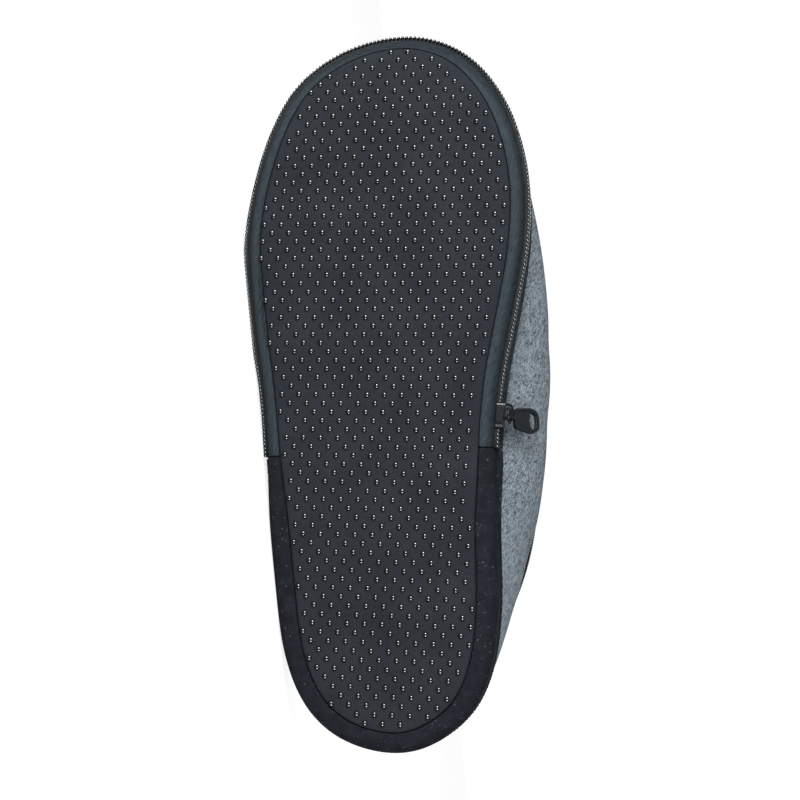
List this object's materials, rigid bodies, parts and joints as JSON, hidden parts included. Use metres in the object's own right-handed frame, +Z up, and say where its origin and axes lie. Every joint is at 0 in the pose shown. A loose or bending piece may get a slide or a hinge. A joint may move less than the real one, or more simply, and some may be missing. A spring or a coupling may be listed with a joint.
{
  "type": "slipper",
  "caption": "Closed-heel felt house slipper lying on its side, with a dotted anti-slip sole and a zip round the forefoot that opens sole from upper.",
  "frame": {"origin": "middle of the bounding box on the floor, the slipper lying on its outer side", "axes": "+X towards the heel, +Y from the ground face of the sole to the upper, +Z up, towards the inner side of the foot"},
  "size_m": [0.29, 0.083, 0.1233],
  "materials": {
    "dotted_fabric": "dark woven cloth with small raised rubber dots",
    "felt": "heathered grey wool felt",
    "fleece": "short dark pile",
    "tape": "black twill zip tape",
    "binding": "matte black bias binding",
    "coil": "black nylon coil",
    "thread": "black overlock thread",
    "hardware": "gloss black enamel"
  },
  "bodies": {
    "shoe": {"sole": "dotted_fabric", "insole": "fleece", "upper": "felt", "collar_edging": "thread", "heel_binding": "binding", "zip_tape_sole": "tape", "zip_tape_upper": "tape", "zip_chain": "coil", "zip_slider": "hardware"},
    "ring": {"pull_ring": "hardware"},
    "tab": {"pull_tab": "hardware"}
  },
  "joints": [
    {"name": "ring_swing", "type": "hinge", "parent": "shoe", "child": "ring", "pos_m": [0.01523, -0.03317, 0.10022], "axis": [-0.0189, -0.9915, -0.1291], "range_deg": [0, 45]},
    {"name": "tab_swing", "type": "hinge", "parent": "ring", "child": "tab", "pos_m": [0.01894, -0.02885, 0.10061], "axis": [0.9457, -0.3131, -0.0868], "range_deg": [0, 75]}
  ]
}
